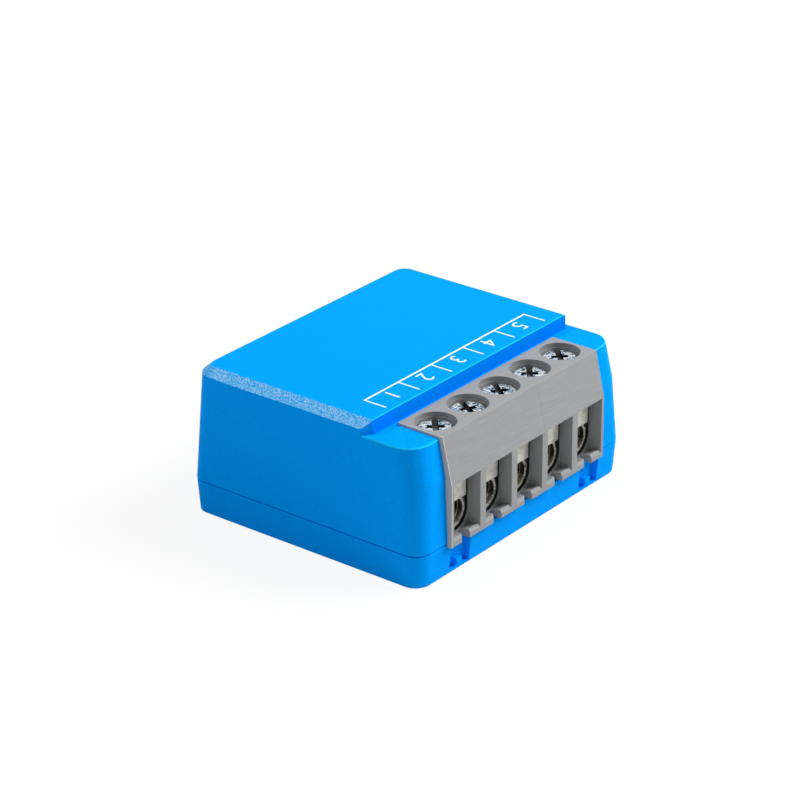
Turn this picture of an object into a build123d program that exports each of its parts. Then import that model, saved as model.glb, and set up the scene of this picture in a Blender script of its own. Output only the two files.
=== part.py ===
"""Smart relay module: a two-piece case, a five-way screw terminal block and the board inside.

Millimetres. X runs along the row of terminals, Y from the wire side to the back, Z up.
The origin is the centre of the underside.
"""
from build123d import *
from math import atan, degrees
import os

os.makedirs("parts", exist_ok=True)

# Case
case_width = 34.0
case_depth = 29.0
case_height = 16.0
parting_z = 3.65
parting_gap = 0.08
upper_inset = 0.44
base_inset = 0.23
front_base_inset = 0.29
corner_front_r = 1.9
corner_back_r = 1.5
corner_growth = 0.7
corner_foot_loss = 0.15
chamfer_width = 0.96
chamfer_drop = 0.84
shelf_drop = 1.445
step_lean = 0.26
facet_width = 1.0
facet_depth = 0.9
deck_edge_r = 0.14
shelf_edge_r = 0.22
parting_edge_r = 0.1
base_edge_r = 0.3
shell_wall = 1.1
deck_thickness = 1.2
flank_bevel_height = 3.85
flank_bevel_run = 0.58
flank_inner_wall = 0.8
skirt_thickness = 0.55
skirt_drop = 6.5
cavity_corner_r = 0.6
overrun = 1.0

# Base cover
base_wall = 1.7
base_floor = 1.1
lip_height = 1.0
lip_thickness = 0.5
lip_clearance = 0.1
latch_notch_width = 3.2
latch_notch_depth = 0.85
latch_notch_floor = 0.35
latch_notch_first_x = -10.47
latch_notch_spacing = 21.5
nub_width = 0.8
nub_proud = 0.65
nub_top_z = 1.25
nub_face_height = 0.45
post_side = 1.2
bead_length = 5.0
bead_proud = 0.07
bead_height = 0.3
bead_lift = 0.45
bead_spacing = 9.0

# Terminal block
pitch = 5.08
ways = 5
first_module_ways = 3
block_side_clearance = 0.1
module_seam = 0.02
block_proud = 0.5
block_depth = 6.45
block_rise = 0.235
block_bevel_run = 1.095
block_edge_r = 0.1
block_fit_gap = 0.04
step_gap = 0.5

# Terminal cell
window_width = 4.18
window_height = 5.75
window_depth = 1.4
sill_height = 0.87
sill_lip_height = 0.57
sill_chamfer = 0.2
sill_ridge = 0.1
sill_fall = 0.4
sill_gap_front = 1.05
sill_gap_back = 0.5
sill_gap_shift = -0.075
sill_gap_back_shift = 0.2
sill_gap_flare = 0.25
chamber_side_clearance = 0.25
chamber_back_clearance = 0.15
screw_row_inset = 3.82
screw_mouth_r = 2.09
screw_mouth_depth = 0.45
screw_bore_r = 1.96
ledge_thickness = 0.5

# Terminal screw
screw_head_r = 1.86
screw_head_height = 1.7
screw_head_drop = 0.58
screw_head_edge_r = 0.35
screw_shank_r = 1.2
screw_hole_r = 1.25
screw_pass_clearance = 0.15
screw_tip_gap = 0.1
recess_width = 0.62
recess_depth = 0.75
cross_reach = 0.85
slot_turns = (42.0, 60.0, 53.0, 39.0, 45.0)

# Clamp cage
cage_hole_r = 1.4
cage_wall = 0.42
cage_hole_z = 5.75
cage_slot_width = 1.7
cage_block_height = 1.2
cage_depth = 3.65
cage_groove_count = 3
cage_groove_width = 0.3
cage_groove_depth = 0.08
cage_groove_pitch = 0.62
cage_top_room = 0.3
bar_hole_clearance = 0.06
bar_slot_clearance = 0.1
lip_cage_clearance = 0.07

# Fixed terminal contact
contact_lip_width = 2.7
contact_lip_height = 2.1
contact_lip_thickness = 0.4
contact_bar_width = 1.5
contact_bar_height = 0.7
contact_leg_width = 1.2
contact_leg_depth = 0.4
contact_leg_clearance = 0.1
solder_tail = 0.7

# Circuit board
pcb_thickness = 1.2
pcb_lift = 0.95
pcb_clearance = 0.2
pcb_corner_r = 1.0
lead_r = 0.28
lead_clearance = 0.06
post_inset = 0.2

# Relay
relay_width = 9.8
relay_wall = 0.6
relay_left_gap = 2.6
relay_front_gap = 1.1
relay_top_gap = 0.95
relay_inductor_gap = 1.0
relay_standoff = 0.2
relay_base_height = 1.2
relay_fit = 0.05
relay_edge_r = 0.3
yoke_thickness = 0.8
yoke_width = 6.0
yoke_reach = 8.0
yoke_side_gap = 0.35
coil_yoke_gap = 0.45
coil_r = 3.0
coil_flange_side = 6.4
coil_flange_thickness = 0.5
pole_drop = 0.3
core_r = 1.1
core_gap = 0.05
pole_r = 1.9
pole_thickness = 0.25
armature_length = 8.0
armature_width = 5.6
armature_thickness = 0.7
armature_lift = 0.15
spring_thickness = 0.15
spring_width = 4.0
spring_headroom = 0.65
contact_end_gap = 1.85
contact_r = 0.8
contact_height = 0.55
rivet_height = 0.3
contact_air_gap = 1.0
contact_closed_gap = 0.05
fixed_post_width = 2.2
fixed_post_thickness = 0.4
fixed_plate_length = 2.4
fixed_plate_thickness = 0.35
relay_pin_width = 0.8
relay_pin_thickness = 0.4
relay_pin_side_share = 0.27
coil_pin_x_share = 0.12

# Power parts
storage_cap_edge_r = 0.35
storage_cap_left_gap = 2.8
storage_cap_relay_gap = 0.35
storage_cap_shield_gap = 0.9
storage_cap_end_gap = 1.2
storage_cap_lift = 0.1
cap_lead_spacing_share = 0.4
cap_lead_reach = 0.8
inductor_r = 3.0
inductor_neck_r = 1.6
inductor_height = 6.8
inductor_flange = 0.8
inductor_winding_gap = 0.1
inductor_front_gap = 1.6
inductor_varistor_gap = 1.55
inductor_lead_spread = 2.0
varistor_r = 2.5
varistor_thickness = 1.7
varistor_side_gap = 2.75
varistor_front_gap = 0.6
varistor_lift = 0.6
varistor_lead_spread = 1.7
varistor_edge_r = 0.4
fuse_resistor_r = 1.15
fuse_resistor_length = 5.6
fuse_resistor_shift = 0.15
fuse_resistor_cap_r = 1.3
fuse_resistor_cap_length = 1.2
fuse_resistor_lift = 0.2
fuse_resistor_lead_reach = 0.9
rectifier_size = (4.4, 2.6, 1.4)
rectifier_switch_gap = 0.6
rectifier_back_gap = 0.35
converter_size = (1.6, 2.9, 1.1)
converter_side_gap = 2.0
converter_chip_gap = 0.5
chip_leg_length = 0.6
chip_leg_width = 0.4
chip_leg_height = 0.2
converter_leg_pitch = 0.95
rectifier_leg_pitch = 2.2
small_chip_size = (2.0, 1.25, 0.6)
small_chip_side_gap = 2.0
small_chip_varistor_gap = 0.15
small_chip_pitch = 1.7
small_chip_count = 2

# Radio board
radio_thickness = 0.8
radio_side_gap = 3.8
radio_rectifier_gap = 0.8
radio_top_gap = 1.95
radio_back_gap = 0.4
radio_slot_depth = 0.6
shield_depth = 1.4
shield_left_margin = 8.4
shield_right_margin = 1.6
shield_top_margin = 1.6
shield_lift = 2.2
shield_edge_r = 0.3
crystal_size = (2.5, 0.7, 2.0)
crystal_shield_gap = 0.35
crystal_lift = 3.0
antenna_width = 0.5
antenna_thickness = 0.1
antenna_turns = 4
antenna_turn_pitch = 1.1
antenna_end_margin = 0.6
antenna_top_margin = 2.0
antenna_lift = 3.2

# Control button
button_back_gap = 4.05
button_z = 5.6
button_r = 1.4
button_hole_clearance = 0.12
button_recess = 0.1
button_flange_r = 1.9
button_flange_thickness = 0.45
button_edge_r = 0.18
button_travel = 0.25
button_flange_gap = 0.1
plunger_r = 0.75
plunger_length = 1.3
plunger_gap = 0.05
plunger_end_room = 0.15
plunger_clearance = 0.08
switch_length = 2.6
switch_width = 3.6
switch_height = 3.75
switch_plunger_out = 0.75
switch_edge_r = 0.2
switch_leg_spread = 1.2

# Derived places
total_depth = case_depth + block_proud
back_y = total_depth / 2
flank_y = back_y - case_depth
block_front_y = flank_y - block_proud
half_width = case_width / 2
chamfer_foot_z = case_height - chamfer_drop
shelf_z = case_height - shelf_drop
block_top_z = shelf_z + block_rise
block_back_y = block_front_y + block_depth
screw_row_y = block_front_y + screw_row_inset
block_half = ways * pitch / 2 - block_side_clearance
step_foot_y = block_back_y + step_gap
opening_half = block_half + block_fit_gap
opening_back_y = block_back_y + block_fit_gap
flank_foot_z = shelf_z - flank_bevel_height
base_top_z = parting_z - parting_gap
pcb_bottom_z = base_floor + pcb_lift
pcb_top_z = pcb_bottom_z + pcb_thickness
pcb_half = half_width - base_wall - pcb_clearance
pcb_back_y = back_y - base_wall - pcb_clearance
pcb_front_y = flank_y + base_wall + pcb_clearance
sill_top_z = pcb_top_z + sill_height
window_top_z = sill_top_z + window_height
recess_back_y = block_front_y + window_depth
head_top_z = block_top_z - screw_head_drop
head_bottom_z = head_top_z - screw_head_height
ledge_bottom_z = head_bottom_z - ledge_thickness
cage_r = cage_hole_r + cage_wall
bar_bottom_z = cage_hole_z + cage_hole_r + bar_hole_clearance
bar_top_z = bar_bottom_z + contact_bar_height
cage_slot_top_z = bar_top_z + bar_slot_clearance
cage_top_z = cage_slot_top_z + cage_block_height
lip_front_y = recess_back_y - contact_lip_thickness / 2
lip_back_y = lip_front_y + contact_lip_thickness
cage_front_y = lip_back_y + lip_cage_clearance
cage_back_y = cage_front_y + cage_depth
chamber_half = cage_r + chamber_side_clearance
chamber_back_y = cage_back_y + chamber_back_clearance
leg_front_y = chamber_back_y + contact_leg_clearance
leg_back_y = leg_front_y + contact_leg_depth
tail_z = pcb_bottom_z - solder_tail
deck_under_z = case_height - deck_thickness
cell_centres = [(index - (ways - 1) / 2) * pitch for index in range(ways)]

# Places of the button and its switch
button_y = back_y - button_back_gap
draft_per_height = upper_inset / (chamfer_foot_z - parting_z)
wall_inner_x = half_width - shell_wall - draft_per_height * (button_z + button_flange_r - parting_z)
button_face_x = half_width - button_recess - draft_per_height * (button_z - parting_z)
flange_outer_x = wall_inner_x - button_flange_gap
flange_inner_x = flange_outer_x - button_flange_thickness
plunger_end_x = flange_inner_x - plunger_gap
switch_right_x = plunger_end_x - switch_plunger_out
switch_left_x = switch_right_x - switch_length

# Places on the radio board
rectifier_reach = rectifier_size[0] / 2 + chip_leg_length
rectifier_x = switch_left_x - rectifier_switch_gap - rectifier_reach
rectifier_y = pcb_back_y - rectifier_back_gap - rectifier_size[1] / 2
radio_left_x = radio_side_gap - half_width
radio_right_x = rectifier_x - rectifier_reach - radio_rectifier_gap
radio_back_y = pcb_back_y - radio_back_gap
radio_front_y = radio_back_y - radio_thickness
radio_bottom_z = pcb_top_z - radio_slot_depth
radio_top_z = deck_under_z - radio_top_gap
shield_left_x = radio_left_x + shield_left_margin
shield_right_x = radio_right_x - shield_right_margin
shield_front_y = radio_front_y - shield_depth
crystal_x = shield_left_x - crystal_shield_gap - crystal_size[0] / 2
antenna_end_x = radio_left_x + antenna_end_margin

# Places of the power parts
varistor_x = half_width - varistor_side_gap - varistor_thickness / 2
varistor_y = opening_back_y + varistor_front_gap + varistor_r
inductor_x = varistor_x - varistor_thickness / 2 - inductor_varistor_gap - inductor_r
inductor_y = opening_back_y + inductor_front_gap + inductor_r
small_chip_x = half_width - small_chip_side_gap - small_chip_size[0] / 2
small_chip_first_y = varistor_y + varistor_r + small_chip_varistor_gap + small_chip_size[1] / 2
small_chip_last_y = small_chip_first_y + (small_chip_count - 1) * small_chip_pitch
converter_x = half_width - converter_side_gap - chip_leg_length - converter_size[0] / 2
converter_y = small_chip_last_y + (small_chip_size[1] + converter_size[1]) / 2 + converter_chip_gap

# Places of the relay and what is in it
relay_left_x = relay_left_gap - half_width
relay_right_x = inductor_x - inductor_r - relay_inductor_gap
relay_front_y = opening_back_y + relay_front_gap
relay_back_y = relay_front_y + relay_width
relay_y = relay_front_y + relay_width / 2
relay_length = relay_right_x - relay_left_x
relay_bottom_z = pcb_top_z + relay_standoff
relay_top_z = deck_under_z - relay_top_gap
relay_floor_z = relay_bottom_z + relay_base_height
spring_top_z = relay_top_z - relay_wall - spring_headroom
armature_top_z = spring_top_z - spring_thickness
armature_bottom_z = armature_top_z - armature_thickness
yoke_left_x = relay_left_x + relay_wall + yoke_side_gap
yoke_bottom_z = relay_floor_z + relay_fit
yoke_top_z = armature_bottom_z - armature_lift
coil_x = yoke_left_x + yoke_thickness + coil_yoke_gap + coil_flange_side / 2
pole_top_z = yoke_top_z - pole_drop
coil_top_z = pole_top_z - pole_thickness - core_gap
coil_bottom_z = yoke_bottom_z + yoke_thickness + core_gap
pivot_x = yoke_left_x
pivot_z = yoke_top_z + armature_lift / 2
moving_contact_x = relay_right_x - relay_wall - contact_end_gap
moving_contact_z = armature_top_z - contact_height
fixed_contact_top_z = moving_contact_z - contact_air_gap
fixed_plate_top_z = fixed_contact_top_z - rivet_height
fixed_post_x = moving_contact_x + fixed_plate_length / 2
relay_pin_y = relay_width * relay_pin_side_share
coil_pin_x = relay_left_x + relay_length * coil_pin_x_share

# Places of the storage capacitors and the resistor in front of them
storage_cap_front_y = relay_back_y + storage_cap_relay_gap
storage_cap_back_y = shield_front_y - storage_cap_shield_gap
storage_cap_r = (storage_cap_back_y - storage_cap_front_y) / 2
storage_cap_y = storage_cap_front_y + storage_cap_r
storage_cap_z = pcb_top_z + storage_cap_lift + storage_cap_r
storage_cap_first_x = storage_cap_left_gap - half_width
storage_cap_spacing = (switch_left_x - storage_cap_first_x) / 2
storage_cap_length = storage_cap_spacing - cap_lead_reach - storage_cap_end_gap
fuse_resistor_x = inductor_x + fuse_resistor_shift
fuse_resistor_y = (inductor_y + inductor_r + storage_cap_front_y) / 2


def span(x0, x1, y0, y1, z0, z1):
    """Box between two limits on each axis."""
    centre = Pos((x0 + x1) / 2, (y0 + y1) / 2, (z0 + z1) / 2)
    return centre * Box(x1 - x0, y1 - y0, z1 - z0)


def prism_yz(points, x0, x1):
    """Outline given as (y, z), carried from x0 to x1."""
    face = Plane.YZ.offset(x0) * make_face(Polyline(*points, close=True))
    return extrude(face, x1 - x0)


def prism_xy(points, z0, z1):
    """Outline given as (x, y), carried from z0 to z1."""
    face = Plane.XY.offset(z0) * make_face(Polyline(*points, close=True))
    return extrude(face, z1 - z0)


def rod_x(radius, x0, x1, y, z):
    return Pos((x0 + x1) / 2, y, z) * Rot(0, 90, 0) * Cylinder(radius, x1 - x0)


def rod_y(radius, y0, y1, x, z):
    return Pos(x, (y0 + y1) / 2, z) * Rot(90, 0, 0) * Cylinder(radius, y1 - y0)


def rod_z(radius, z0, z1, x, y):
    return Pos(x, y, (z0 + z1) / 2) * Cylinder(radius, z1 - z0)


def save(name, shape):
    export_step(shape, f"parts/{name}.step")


def plan_face(z, half, front, back, front_r, back_r):
    """Rounded rectangle of the case at one height."""
    points = [(-half, front), (half, front), (half, back), (-half, back)]
    outline = FilletPolyline(*points, radius=[front_r, front_r, back_r, back_r], close=True)
    return Plane.XY.offset(z) * make_face(outline)


def upper_plan(z, inset=0.0):
    """Plan of the upper shell at height z, drawn in by its draft and by inset."""
    climb_share = (z - parting_z) / (chamfer_foot_z - parting_z)
    draw = upper_inset * climb_share + inset
    growth = corner_growth * climb_share
    front_r = max(corner_front_r + growth - inset, cavity_corner_r)
    back_r = max(corner_back_r + growth - inset, cavity_corner_r)
    return plan_face(z, half_width - draw, flank_y + draw, back_y - draw, front_r, back_r)


def base_plan(z, inset=0.0):
    """Plan of the base cover at height z, drawn in towards the underside."""
    drop_share = (parting_z - z) / parting_z
    draw = base_inset * drop_share + inset
    front_draw = front_base_inset * drop_share + inset
    loss = corner_foot_loss * drop_share
    front_r = max(corner_front_r - loss - inset, cavity_corner_r)
    back_r = max(corner_back_r - loss - inset, cavity_corner_r)
    return plan_face(z, half_width - draw, flank_y + front_draw, back_y - draw, front_r, back_r)


def between(plan, z0, z1, inset=0.0):
    return loft([plan(z0, inset), plan(z1, inset)], ruled=True)


# Upper shell

def deck_body():
    """Drafted walls with the sloping rim of the deck on top."""
    walls = between(upper_plan, parting_z, chamfer_foot_z)
    draw = upper_inset + chamfer_width
    rim = plan_face(
        case_height, half_width - draw, flank_y + draw, back_y - draw,
        corner_front_r + corner_growth - chamfer_width,
        corner_back_r + corner_growth - chamfer_width,
    )
    return walls + loft([upper_plan(chamfer_foot_z), rim], ruled=True)


def step_cut():
    """Everything above the shelf on the wire side of the step."""
    far_y = flank_y - overrun
    top_z = case_height + overrun
    lean = step_lean * (top_z - shelf_z) / shelf_drop
    points = [(far_y, shelf_z), (step_foot_y, shelf_z), (step_foot_y + lean, top_z), (far_y, top_z)]
    return prism_yz(points, -half_width - overrun, half_width + overrun)


def facet_cut(side):
    """Cut corner where the deck meets the step."""
    outer_x = half_width + overrun
    wall_x = half_width - upper_inset
    slope = facet_depth / facet_width
    points = [
        (side * (wall_x - facet_width), step_foot_y - overrun),
        (side * (wall_x - facet_width), step_foot_y),
        (side * outer_x, step_foot_y + slope * (facet_width + outer_x - wall_x)),
        (side * outer_x, step_foot_y - overrun),
    ]
    return prism_xy(points, shelf_z, case_height + overrun)


def flank_plan(z):
    """Plan beside the terminal block, where the front leans back with the height z."""
    climb_share = (z - parting_z) / (chamfer_foot_z - parting_z)
    draw = upper_inset * climb_share
    growth = corner_growth * climb_share
    lean = flank_bevel_run * (z - flank_foot_z) / flank_bevel_height
    return plan_face(z, half_width - draw, flank_y + draw + lean, back_y - draw,
                     corner_front_r + growth, corner_back_r + growth)


def flank_bevel_cut():
    """What the leaning front with its round corners leaves away above its foot."""
    room = span(-half_width, half_width, flank_y, block_back_y, flank_foot_z, case_height)
    return room - loft([flank_plan(flank_foot_z), flank_plan(case_height)], ruled=True)


def shell_cavity():
    """Room inside: one main space and a narrow one in each flank."""
    shelf_under_z = shelf_z - deck_thickness
    room = between(upper_plan, parting_z - overrun, chamfer_foot_z, shell_wall)
    main_y = opening_back_y + skirt_thickness
    main = room & span(-half_width, half_width, main_y, back_y, 0, deck_under_z)
    low_z = deck_under_z - skirt_drop
    low = room & span(-half_width, half_width, opening_back_y, back_y, 0, low_z)
    flank_x = opening_half + flank_inner_wall
    right = room & span(flank_x, half_width, flank_y, back_y, 0, shelf_under_z)
    left = room & span(-half_width, -flank_x, flank_y, back_y, 0, shelf_under_z)
    return main + low + right + left


def button_hole():
    return rod_x(button_r + button_hole_clearance, half_width / 2, half_width + overrun,
                 button_y, button_z)


def bead_places():
    """Centre of each snap bead along the side walls, as (side, y); the button has the place of one."""
    middle = (opening_back_y + back_y) / 2
    front, back = middle - bead_spacing / 2, middle + bead_spacing / 2
    return [(-1, front), (-1, back), (1, front)]


def snap_bead(side, y, extra):
    """Rib on the lip, or with extra its groove in the shell."""
    lip_x = half_width - shell_wall - lip_clearance
    middle_z = parting_z + bead_lift
    reach = bead_proud + lip_clearance + extra
    half_length = bead_length / 2 + extra
    half_height = bead_height / 2 + extra
    inner, outer = sorted((side * (lip_x - lip_thickness / 2), side * (lip_x + reach)))
    return span(inner, outer, y - half_length, y + half_length,
                middle_z - half_height, middle_z + half_height)


def upper_shell():
    shell = deck_body() - step_cut() - facet_cut(1) - facet_cut(-1) - flank_bevel_cut()
    deck_edges = shell.edges().filter_by(Axis.X).filter_by_position(
        Axis.Z, case_height - deck_edge_r, case_height + deck_edge_r).sort_by(Axis.Y)[:1]
    shell = fillet(deck_edges, deck_edge_r)
    level = shell.edges().filter_by_position(Axis.Z, shelf_z - deck_edge_r, shelf_z + deck_edge_r)
    shelf_edges = level.filter_by_position(Axis.Y, flank_y, step_foot_y - facet_depth)
    shell = fillet(shelf_edges, shelf_edge_r)
    shell = fillet(shell.edges().group_by(Axis.Z)[0], parting_edge_r)
    shell -= span(-opening_half, opening_half, flank_y - overrun, opening_back_y,
                  parting_z - overrun, case_height)
    shell -= shell_cavity()
    for side, y in bead_places():
        shell -= snap_bead(side, y, lip_clearance / 2)
    return shell - button_hole()


# Base cover

def latch_notch(centre_x):
    half = latch_notch_width / 2
    back = flank_y + latch_notch_depth
    return span(centre_x - half, centre_x + half, flank_y - overrun, back,
                latch_notch_floor, parting_z)


def latch_nub(centre_x):
    """Small ramp on the back wall of a notch."""
    back = flank_y + latch_notch_depth
    front = back - nub_proud
    points = [
        (back, latch_notch_floor), (front, nub_top_z - nub_face_height),
        (front, nub_top_z), (back, nub_top_z),
    ]
    return prism_yz(points, centre_x - nub_width / 2, centre_x + nub_width / 2)


def base_lip():
    """Upstand that the upper shell slides over, on the sides and the back."""
    outer_inset = shell_wall + lip_clearance
    low_z = parting_z - parting_gap - overrun
    high_z = parting_z + lip_height
    outer = between(upper_plan, low_z, high_z, outer_inset)
    inner = between(upper_plan, low_z - overrun, high_z + overrun, outer_inset + lip_thickness)
    ring = outer - inner
    ring &= span(-half_width, half_width, opening_back_y, back_y, low_z, high_z)
    for side, y in bead_places():
        ring += snap_bead(side, y, 0)
    room = button_flange_r + lip_clearance
    return ring - span(0, half_width, button_y - room, button_y + room, base_top_z, high_z)


def board_posts():
    """Posts that carry the board at its corners and at the middle of its sides."""
    posts = []
    edge_x = pcb_half - post_inset - post_side
    edge_y = pcb_back_y - post_inset - post_side
    front_y = pcb_front_y + post_inset
    for x in (-edge_x - post_side, edge_x):
        for y in (front_y, edge_y):
            posts.append(span(x, x + post_side, y, y + post_side, base_floor - overrun / 2,
                              pcb_bottom_z))
    return posts


def base_cover():
    cover = between(base_plan, 0, base_top_z)
    cover = fillet(cover.edges().group_by(Axis.Z)[0], base_edge_r)
    cover = fillet(cover.edges().group_by(Axis.Z)[-1], parting_edge_r)
    cover -= between(base_plan, base_floor, parting_z + overrun, base_wall)
    cover += base_lip()
    block_floor_z = pcb_top_z - parting_gap
    cover -= span(-opening_half, opening_half, flank_y - overrun, flank_y + base_wall + overrun,
                  block_floor_z, parting_z + overrun)
    for post in board_posts():
        cover += post
    for index in range(2):
        x = latch_notch_first_x + index * latch_notch_spacing
        cover = cover - latch_notch(x) + latch_nub(x)
    return cover


# Terminal block

def block_profile():
    """Outline of the terminal block as seen from its end, as (y, z)."""
    return [
        (block_back_y, pcb_top_z), (block_front_y, pcb_top_z),
        (block_front_y, window_top_z),
        (block_front_y + block_bevel_run, block_top_z), (block_back_y, block_top_z),
    ]


def window_cut(x):
    """Wire window; its sill is a ridge that falls away towards the cage."""
    half = window_width / 2
    lip_z = pcb_top_z + sill_lip_height
    ridge_y = block_front_y + sill_chamfer
    points = [
        (block_front_y - overrun, lip_z), (block_front_y, lip_z),
        (ridge_y, sill_top_z), (ridge_y + sill_ridge, sill_top_z),
        (recess_back_y, sill_top_z - sill_fall),
        (recess_back_y, window_top_z), (block_front_y - overrun, window_top_z),
    ]
    return prism_yz(points, x - half, x + half)


def chamber_cut(x):
    """Space that the clamp cage rides in, round at the bottom like the cage."""
    tall = span(x - chamber_half, x + chamber_half, recess_back_y, chamber_back_y,
                cage_hole_z, ledge_bottom_z)
    return tall + rod_y(chamber_half, recess_back_y, chamber_back_y, x, cage_hole_z)


def sill_gap_cut(x):
    """Tapering gap through the middle of the sill."""
    half_front, half_back = sill_gap_front / 2, sill_gap_back / 2
    front_x, back_x = x + sill_gap_shift, x + sill_gap_back_shift
    points = [
        (front_x - half_front - sill_gap_flare, block_front_y - overrun),
        (front_x - half_front - sill_gap_flare, block_front_y),
        (front_x - half_front, block_front_y + sill_gap_flare),
        (back_x - half_back, recess_back_y), (back_x + half_back, recess_back_y),
        (front_x + half_front, block_front_y), (front_x + half_front, block_front_y - overrun),
    ]
    return prism_xy(points, pcb_top_z - overrun, sill_top_z + sill_chamfer)


def screw_cuts(x):
    """Stepped access bore above the ledge and the hole for the shank through it."""
    mouth = rod_z(screw_mouth_r, block_top_z - screw_mouth_depth, block_top_z + overrun,
                  x, screw_row_y)
    bore = rod_z(screw_bore_r, head_bottom_z, block_top_z, x, screw_row_y)
    shank = rod_z(screw_shank_r + screw_pass_clearance, ledge_bottom_z - overrun / 2,
                  head_bottom_z + overrun / 2, x, screw_row_y)
    return mouth + bore + shank


def contact_channel(x):
    """Slot at the back for the bar and the leg of the fixed contact."""
    bar_half = contact_bar_width / 2 + contact_leg_clearance
    leg_half = contact_leg_width / 2 + contact_leg_clearance
    back = leg_back_y + contact_leg_clearance
    bar = span(x - bar_half, x + bar_half, chamber_back_y - contact_leg_clearance, back,
               bar_bottom_z - contact_leg_clearance, bar_top_z + contact_leg_clearance)
    leg = span(x - leg_half, x + leg_half, leg_front_y - contact_leg_clearance, back,
               pcb_top_z - overrun, bar_bottom_z)
    return bar + leg


def terminal_housing(x0, x1, centres):
    housing = prism_yz(block_profile(), x0, x1)
    front_edges = housing.edges().filter_by(Axis.X).sort_by(Axis.Y)[:3]
    housing = fillet(front_edges, block_edge_r)
    for x in centres:
        housing -= window_cut(x) + sill_gap_cut(x)
        housing -= chamber_cut(x)
        housing -= screw_cuts(x)
        housing -= contact_channel(x)
    return housing


def terminal_screw(x, turn):
    """Captive screw with a slotted cross recess."""
    head = rod_z(screw_head_r, head_bottom_z, head_top_z, x, screw_row_y)
    head = fillet(head.edges().sort_by(Axis.Z)[-1], screw_head_edge_r)
    tip_z = bar_top_z + screw_tip_gap
    shank = rod_z(screw_shank_r, tip_z, head_bottom_z + overrun / 2, x, screw_row_y)
    floor = head_top_z - recess_depth
    reach, half = screw_head_r + overrun, recess_width / 2
    slot = span(-reach, reach, -half, half, floor, head_top_z + overrun)
    cross = span(-half, half, -cross_reach, cross_reach, floor, head_top_z + overrun)
    recess = Pos(x, screw_row_y, 0) * Rot(0, 0, turn) * (slot + cross)
    return head + shank - recess


def clamp_cage(x):
    """Cage that rises on the screw and clamps the wire against the fixed bar."""
    cage = rod_y(cage_r, cage_front_y, cage_back_y, x, cage_hole_z)
    cage += span(x - cage_r, x + cage_r, cage_front_y, cage_back_y, cage_hole_z, cage_top_z)
    slot_half = cage_slot_width / 2
    near, far = cage_front_y - overrun, cage_back_y + overrun
    cage -= rod_y(cage_hole_r, near, far, x, cage_hole_z)
    cage -= span(x - slot_half, x + slot_half, near, far, cage_hole_z, cage_slot_top_z)
    for index in range(cage_groove_count):
        start = cage_front_y + cage_groove_width + index * cage_groove_pitch
        cage -= rod_y(cage_hole_r + cage_groove_depth, start, start + cage_groove_width,
                      x, cage_hole_z)
    return cage - rod_z(screw_hole_r, cage_hole_z, cage_top_z + overrun, x, screw_row_y)


def terminal_contact(x):
    """Tinned strip: a lip in the window, the clamping bar and the solder leg."""
    lip_half, bar_half, leg_half = contact_lip_width / 2, contact_bar_width / 2, contact_leg_width / 2
    lip = span(x - lip_half, x + lip_half, lip_front_y, lip_back_y,
               bar_bottom_z, bar_bottom_z + contact_lip_height)
    bar = span(x - bar_half, x + bar_half, lip_front_y, leg_back_y, bar_bottom_z, bar_top_z)
    leg = span(x - leg_half, x + leg_half, leg_front_y, leg_back_y, tail_z, bar_top_z)
    return lip + bar + leg


# Relay

def relay_case():
    case = span(relay_left_x, relay_right_x, relay_front_y, relay_back_y, relay_bottom_z, relay_top_z)
    case = fillet(case.edges().filter_by(Axis.Z) + case.edges().group_by(Axis.Z)[-1], relay_edge_r)
    return case - span(relay_left_x + relay_wall, relay_right_x - relay_wall,
                       relay_front_y + relay_wall, relay_back_y - relay_wall,
                       relay_bottom_z - overrun, relay_top_z - relay_wall)


def relay_pin_places():
    """Coil pins, the common pin beside the yoke and the pin of the fixed contact."""
    coil = [(coil_pin_x, relay_y + side * relay_pin_y) for side in (-1, 1)]
    return coil + [(yoke_left_x + yoke_reach + yoke_thickness, relay_y), (fixed_post_x, relay_y)]


def pin_at(place, z0, z1, grow=0.0):
    x, y = place
    half_x = relay_pin_thickness / 2 + grow
    half_y = relay_pin_width / 2 + grow
    return span(x - half_x, x + half_x, y - half_y, y + half_y, z0, z1)


def relay_base():
    inset = relay_wall + relay_fit
    base = span(relay_left_x + inset, relay_right_x - inset, relay_front_y + inset,
                relay_back_y - inset, relay_bottom_z, relay_floor_z)
    for place in relay_pin_places():
        base -= pin_at(place, relay_bottom_z - overrun, relay_floor_z + overrun, relay_fit)
    return base


def relay_pins():
    """Three of the pins; the fourth is the leg of the fixed contact."""
    return [pin_at(place, tail_z, relay_floor_z) for place in relay_pin_places()[:3]]


def relay_yoke():
    half = yoke_width / 2
    leg = span(yoke_left_x, yoke_left_x + yoke_reach, relay_y - half, relay_y + half,
               yoke_bottom_z, yoke_bottom_z + yoke_thickness)
    upright = span(yoke_left_x, yoke_left_x + yoke_thickness, relay_y - half, relay_y + half,
                   yoke_bottom_z, yoke_top_z)
    return leg + upright


def relay_bobbin():
    half = coil_flange_side / 2
    x0, x1 = coil_x - half, coil_x + half
    y0, y1 = relay_y - half, relay_y + half
    low = span(x0, x1, y0, y1, coil_bottom_z, coil_bottom_z + coil_flange_thickness)
    high = span(x0, x1, y0, y1, coil_top_z - coil_flange_thickness, coil_top_z)
    neck = rod_z(core_r + coil_flange_thickness, coil_bottom_z, coil_top_z, coil_x, relay_y)
    return low + high + neck - rod_z(core_r + core_gap, coil_bottom_z - overrun,
                                     coil_top_z + overrun, coil_x, relay_y)


def relay_coil():
    z0 = coil_bottom_z + coil_flange_thickness + core_gap
    z1 = coil_top_z - coil_flange_thickness - core_gap
    bore = core_r + coil_flange_thickness + core_gap
    return rod_z(coil_r, z0, z1, coil_x, relay_y) - rod_z(bore, z0 - overrun, z1 + overrun,
                                                          coil_x, relay_y)


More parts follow.
